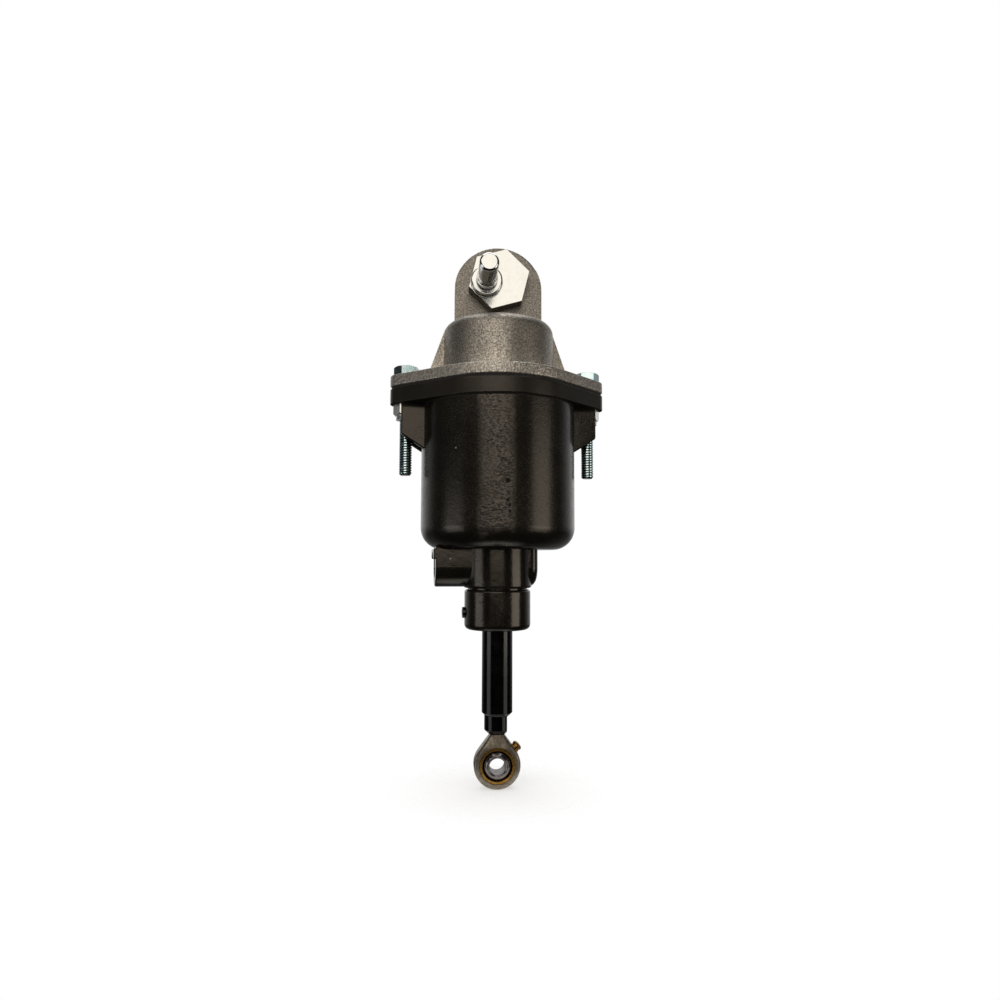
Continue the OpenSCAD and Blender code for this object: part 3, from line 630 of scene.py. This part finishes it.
def body_inner(p):
    """Edges of the bore, the holes and the drillings."""
    r = math.hypot(p.x, p.y)
    inside = r < 32.5 and p.z > JOINT_Z - 80
    gland = r < 12.5
    screw = p.x < -14 and math.hypot(p.y, p.z - SCREW_Z) < 3.2
    port = p.x < -16 and math.hypot(p.y, p.z - PORT_Z) < 8.0
    return inside or bolt_hole(p) or gland or screw or port


def body_lip(p):
    """Lower edge of the body's flange, which stands only a little out of the cylinder."""
    low_edge = abs(p.z - BODY_FLANGE_LOW) < 0.2 and math.hypot(p.x, p.y) > 36
    return low_edge and not bolt_hole(p)


rounded_casting("cast_cap", "end_cap", "cast_aluminium", 0.9, cap_inner, cap_lip)
rounded_casting("cast_body", "cylinder_body", "black_casting", 0.8, body_inner, body_lip)


# Bolts and threads

HEX_SIDE_POINTS = 10
FACE_SHARE, WASHER_FACE = 0.475, 0.35
DISH_WIDTH, DISH_DEPTH = 0.6, 0.05
THREAD_POINTS, THREAD_STEPS = 40, 8
THREAD_DEPTH, THREAD_FLAT = 0.46, 1.5


def hex_ring(af, turn, height):
    """Points round a hexagon; height gives each point's z from its distance to the axis."""
    ring = []
    for side in range(6):
        for step in range(HEX_SIDE_POINTS):
            across = math.radians(60 * step / HEX_SIDE_POINTS - 30)
            r = af / 2 / math.cos(across)
            a = math.radians(60 * side + 30) + across + turn
            ring.append((r * math.cos(a), r * math.sin(a), height(r)))
    return ring


def hex_head(bm, place, af, h, turn):
    """Bolt head with corners turned off at 30 degrees, on a round washer face."""
    face_r = FACE_SHARE * af
    slope = math.tan(math.radians(30))
    count = 6 * HEX_SIDE_POINTS
    loft(bm, place, [
        circle(face_r, 0.0, count, turn),
        circle(face_r, WASHER_FACE, count, turn),
        hex_ring(af, turn, lambda r: WASHER_FACE),
        hex_ring(af, turn, lambda r: h - max(0.0, r - face_r) * slope),
        circle(face_r, h, count, turn),
        circle(face_r - DISH_WIDTH, h - DISH_DEPTH, count, turn),
    ])


def screw_thread(bm, place, major, pitch, length, chamfer, wall=0.0):
    """Helical thread from z = 0, its free end, up to z = length; a wall makes a sleeve threaded inside."""
    depth = THREAD_DEPTH * pitch
    crest, root = (major - depth, major) if wall else (major, major - depth)
    radii = []
    for step in range(THREAD_STEPS):
        wave = min(1.0, THREAD_FLAT * abs(math.cos(math.pi * step / THREAD_STEPS)))
        radii.append(root + (crest - root) * wave)
    turns = int(length / pitch) + 3
    rows = []
    for k in range(turns * THREAD_STEPS):
        turn, step = divmod(k, THREAD_STEPS)
        row = []
        for j in range(THREAD_POINTS):
            z = (turn - 2 + step / THREAD_STEPS + j / THREAD_POINTS) * pitch
            z = min(max(z, 0.0), length)
            if wall:
                r = min(max(radii[step], major + chamfer - depth - z), major)
            else:
                r = min(radii[step], major - chamfer + z)
            a = 2 * math.pi * j / THREAD_POINTS
            row.append(bm.verts.new(place @ Vector((r * math.cos(a), r * math.sin(a), z))))
        rows.append(row)
    for k, (low, high) in enumerate(zip(rows, rows[1:])):
        for j in range(THREAD_POINTS - 1):
            bm.faces.new((low[j], low[j + 1], high[j + 1], high[j]))
        after = k + THREAD_STEPS
        if after + 1 < len(rows):
            bm.faces.new((low[-1], rows[after][0], rows[after + 1][0], high[-1]))
    if wall:
        loft(bm, place, [circle(major + wall, z, THREAD_POINTS) for z in (length, 0.0)], False)


def flange_bolts():
    """Hexagon bolts: head, plain shank, and a thread round a thinner core."""
    bm = bmesh.new()
    length, thread, pitch = 50.2, 38.0, 1.27
    major, shank, core = 3.175, 3.17, 2.5
    across_flats, head = 11.1, 4.8
    lead, chamfer = 0.05, 0.75
    profile = [(2.3, 0.0), (core, 0.6), (core, thread - 1.0), (shank, thread), (shank, length - lead)]
    for side, turn in ((-1, 7), (1, -11)):
        x = side * BOLT_OUT
        end = CAP_FLANGE_TOP - length
        hex_head(bm, at_ears(x, CAP_FLANGE_TOP), across_flats, head, math.radians(turn))
        lathe(bm, at_ears(x, end + lead), profile, 40)
        screw_thread(bm, at_ears(x, end), major, pitch, thread, chamfer)
    to_object("threaded_bolts", bm, "bolt_zinc", "housing", "zinc_steel", "flange_bolts")


flange_bolts()


# Rod end

PLATE_R = 11.55
NECK_HALF, NECK_Z = 3.5, 14.7
ARC_POINTS, SIDE_POINTS, NECK_POINTS = 72, 14, 6
THIN_FROM_Z, THIN_SHARE = 8.0, 0.82
NIPPLE_ANGLE = math.radians(42)


def teardrop(inset, half):
    """Outline of the rod end, moved in by inset; half is its half thickness, less towards the neck."""
    reach = math.hypot(NECK_HALF, NECK_Z)
    lean = math.asin(PLATE_R / reach) - math.atan2(NECK_HALF, NECK_Z)
    r = PLATE_R - inset
    neck = NECK_HALF - inset / math.cos(lean)
    ring = []
    start, end = lean, -math.pi - lean
    for i in range(ARC_POINTS + 1):
        a = start + (end - start) * i / ARC_POINTS
        ring.append(Vector((r * math.cos(a), half, r * math.sin(a))))
    first, last = ring[0].copy(), ring[-1].copy()
    for i in range(1, SIDE_POINTS + 1):
        ring.append(last.lerp(Vector((-neck, half, NECK_Z)), i / SIDE_POINTS))
    for i in range(1, NECK_POINTS):
        ring.append(Vector((-neck + 2 * neck * i / NECK_POINTS, half, NECK_Z)))
    for i in range(SIDE_POINTS):
        ring.append(Vector((neck, half, NECK_Z)).lerp(first, i / SIDE_POINTS))
    for p in ring:
        share = min(max((p.z - THIN_FROM_Z) / (NECK_Z - THIN_FROM_Z), 0.0), 1.0)
        p.y *= 1 - (1 - THIN_SHARE) * share * share * (3 - 2 * share)
    return ring


def rod_end():
    """Forged rod end: a drop-shaped plate with rounded edges, a bored eye and a shank."""
    bm = bmesh.new()
    width, edge, bore, mouth = 9.0, 1.7, 8.7, 0.25
    steps = 7
    rings = []
    for i in range(steps + 1):
        a = math.pi / 2 * i / steps
        rings.append(teardrop(edge * (1 - math.cos(a)), width / 2 - edge + edge * math.sin(a)))

    def eye_circle(r, half):
        """Points of a circle in line with those of the innermost outline."""
        angles = [math.atan2(p.z, p.x) for p in rings[-1]]
        return [Vector((r * math.cos(a), half, r * math.sin(a))) for a in angles]

    front = [eye_circle(bore, width / 2 - mouth), eye_circle(bore + mouth, width / 2)] + rings[::-1]
    back = [[Vector((p.x, -p.y, p.z)) for p in ring] for ring in front[::-1]]
    loft(bm, at(*EYE), front + back + [front[0]], False)
    shank = [(3.17, 0.0), (3.17, 19.0), (2.6, 19.8)]
    lathe(bm, at(EYE.x, EYE.y, EYE.z + NECK_Z - 0.6), shank, 40)
    to_object("forged_rod_end", bm, "spring_steel", "rod", "spring_steel", "rod_end_body")


rod_end()


def nipple():
    """Drive-in grease nipple: collar, waist and rounded nose with its ball."""
    bm = bmesh.new()
    turn = Matrix.Rotation(math.pi / 2 - NIPPLE_ANGLE, 4, "Y")
    place = at(*EYE) @ turn @ Matrix.Translation((0, 0, PLATE_R))
    stem = [(1.45, -1.75), (1.45, -0.4)]
    collar = [(2.3, -0.4), (2.5, -0.25), (2.5, 0.4), (2.35, 0.6)]
    waist = [(2.2, 0.7), (2.2, 1.0), (2.4, 1.2)]
    nose = [(2.55, 1.4), (2.55, 2.1), (2.4, 2.4), (2.0, 2.75), (1.6, 2.95)]
    mouth = [(1.2, 3.05), (0.85, 3.05), (0.7, 2.9)]
    ball = [(0.35, 2.6), (0.6, 2.7), (0.68, 2.82), (0.55, 2.97), (0.28, 3.03)]
    lathe(bm, place, stem + collar + waist + nose + mouth, 48)
    lathe(bm, place, ball, 32)
    to_object("drive_nipple", bm, "bronze", "rod", "bronze", "grease_nipple")


nipple()


# Spring and port

def coil_spring():
    """The CAD node's own coil, on a mesh of its own."""
    bm = bmesh.new()
    bm.from_mesh(NODES["return_spring"].data)
    obj = to_object("coil_spring", bm, "spring_steel", "housing", "spring_steel", "return_spring")
    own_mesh(obj)


coil_spring()


def port_thread():
    """Pipe thread inside the air port, from its mouth inwards."""
    bm = bmesh.new()
    mouth, length, major, pitch = 13.6, 12.5, 5.66, 1.411
    chamfer, wall = 0.5, 0.03
    outwards = Matrix.Rotation(-math.pi / 2, 4, "Y")
    inwards = outwards @ Matrix.Rotation(math.pi, 4, "X")
    place = at_ears(PORT_BOTTOM_X, PORT_Z) @ inwards @ Matrix.Translation((0, 0, -mouth))
    screw_thread(bm, place, major, pitch, length, chamfer, wall)
    to_object("port_thread", bm, "turned_aluminium", "housing", "turned_aluminium")


port_thread()


# Light

CAMERA = Vector((-18.4, -365.08, -141.0)) * MM
TO_CAMERA = Vector((CAMERA.x - AXIS.x * MM, CAMERA.y - AXIS.y * MM, 0.0)).normalized()
TO_RIGHT = Vector((-TO_CAMERA.y, TO_CAMERA.x, 0.0))

WHITE = (1.0, 1.0, 1.0)
WARM = (1.0, 0.93, 0.84)
COOL = (0.98, 0.98, 1.0)

# Name, degrees right of the camera, distance, width, lower and upper end, radiance and colour, in metres
SOFTBOXES = [
    ("front_box", -1, 1.2, 0.98, -0.15, 1.0, 1.3, WARM),
    ("front_left", -40, 1.2, 0.7, 0.36, 0.80, 1.6, WARM),
    ("right_high", 66, 1.0, 0.53, 0.03, 0.12, 1.1, WARM),
    ("right_mid", 66, 1.0, 0.53, -0.145, 0.03, 1.4, WARM),
    ("right_neck", 66, 1.0, 0.53, -0.32, -0.145, 2.1, WARM),
    ("right_low", 66, 1.0, 0.53, -0.55, -0.32, 0.95, WARM),
    ("left_high", -66, 1.0, 0.53, -0.12, -0.06, 0.7, COOL),
    ("left_mid", -66, 1.0, 0.53, -0.32, -0.12, 1.5, COOL),
    ("left_low", -66, 1.0, 0.53, -0.55, -0.32, 0.95, COOL),
]
TOP_SIZE, TOP_RADIANCE = 1.2, 1.5
TOP_PLACE = (AXIS.x * MM, AXIS.y * MM + 0.1, 1.1)


def area_lamp(name, width, height, radiance, colour, place):
    """Rectangular lamp of an even radiance, facing down, that the camera doesn't see."""
    data = bpy.data.lights.new(name, "AREA")
    data.shape = "RECTANGLE"
    data.size, data.size_y = width, height
    data.energy = radiance * math.pi * width * height
    data.color = colour
    obj = add_object(name, data)
    obj.location = place
    obj.visible_camera = False
    return obj


def softbox(name, azimuth, distance, width, low, high, radiance, colour):
    """Upright lamp that faces the rod axis."""
    a = math.radians(azimuth)
    out = math.cos(a) * TO_CAMERA + math.sin(a) * TO_RIGHT
    place = AXIS * MM + out * distance + Vector((0, 0, (low + high) / 2))
    obj = area_lamp(name, width, high - low, radiance, colour, place)
    obj.rotation_mode = "QUATERNION"
    obj.rotation_quaternion = (-out).to_track_quat("-Z", "Y")


for box in SOFTBOXES:
    softbox(*box)
area_lamp("top_box", TOP_SIZE, TOP_SIZE, TOP_RADIANCE, WHITE, TOP_PLACE)

FILL = 0.2
FRONT_SHARE, FRONT_CURVE, LOW_SHARE = 0.1, 1.7, 0.15


def world():
    """White for the camera, and an even fill.

    What shines sees white behind the object, and less of it on the camera's side and below the horizon.
    """
    studio = bpy.data.worlds.new("studio")
    bpy.context.scene.world = studio
    studio.use_nodes = True
    t = Tree(studio.node_tree, "Generated")
    background = t.nodes["Background"].inputs
    background["Color"].default_value = (*WHITE, 1.0)
    path = t.nodes.new("ShaderNodeLightPath").outputs
    behind = t.range(t.measure("DOT_PRODUCT", TO_CAMERA), -0.22, -0.9, FRONT_SHARE, 1.0, "LINEAR")
    above = t.range(t.part("Z"), -0.2, 0.04, LOW_SHARE, 1.0, "LINEAR")
    pale = t.times(t.math("POWER", behind, FRONT_CURVE), above)
    seen = t.math("MAXIMUM", path["Is Camera Ray"], path["Is Transmission Ray"])
    shiny = t.times(path["Is Glossy Ray"], pale)
    other = t.math("SUBTRACT", 1.0, t.math("MAXIMUM", seen, path["Is Glossy Ray"]))
    t.links.new(t.plus(t.plus(seen, shiny), t.times(other, FILL)), background["Strength"])


world()


# Floor and camera

FLOOR_RADIUS = 0.062
FLOOR_GAP = 0.0002
FLOOR_LIFT = 0.50
FLOOR_FADE = (0.2, 0.97)


def floor():
    """Pale round floor that fades into the white background at its rim."""
    bm = bmesh.new()
    bmesh.ops.create_circle(bm, cap_ends=True, segments=96, radius=FLOOR_RADIUS)
    mesh = bpy.data.meshes.new("floor")
    bm.to_mesh(mesh)
    bm.free()
    obj = add_object("floor", mesh)
    obj.location = (AXIS.x * MM, AXIS.y * MM, CAD_BOX[0][2] - FLOOR_GAP)
    s = Shader("floor")
    path = s.nodes.new("ShaderNodeLightPath").outputs
    seen = s.math("MAXIMUM", path["Is Camera Ray"], path["Is Glossy Ray"])
    seen = s.math("MAXIMUM", seen, path["Is Transmission Ray"])
    s.set(base_color=(0.9, 0.9, 0.9), roughness=0.9, specular_ior_level=0.1)
    s.set(emission_color=WHITE, emission_strength=s.times(seen, FLOOR_LIFT))
    inner, outer = [share * FLOOR_RADIUS for share in FLOOR_FADE]
    rim = s.range(s.measure("DISTANCE", (0.0, 0.0, 0.0)), inner, outer)
    clear = s.nodes.new("ShaderNodeBsdfTransparent")
    blend = s.nodes.new("ShaderNodeMixShader")
    for socket, value in zip(blend.inputs, (rim, s.bsdf.outputs[0], clear.outputs[0])):
        s.links.new(value, socket)
    s.links.new(blend.outputs[0], s.nodes["Material Output"].inputs["Surface"])
    mesh.materials.append(s.material)


floor()

TILT, YAW, ROLL = 0.0783, 0.06885, 0.0033
FOCAL = 26.85


def camera():
    """The photo's viewpoint: a little below and left of the object, looking up."""
    data = bpy.data.cameras.new("camera")
    data.sensor_width = 36.0
    data.lens = FOCAL
    data.clip_start, data.clip_end = 0.01, 20.0
    forward = Vector((math.cos(TILT) * math.sin(YAW), math.cos(TILT) * math.cos(YAW), math.sin(TILT)))
    level = Vector((math.cos(YAW), -math.sin(YAW), 0.0))
    upright = level.cross(forward)
    right = level * math.cos(ROLL) + upright * math.sin(ROLL)
    up = upright * math.cos(ROLL) - level * math.sin(ROLL)
    obj = add_object("camera", data)
    turn = Matrix((right, up, -forward)).transposed()
    obj.matrix_world = Matrix.Translation(CAMERA) @ turn.to_4x4()
    bpy.context.scene.camera = obj


camera()
bpy.context.scene.view_settings.view_transform = "Standard"
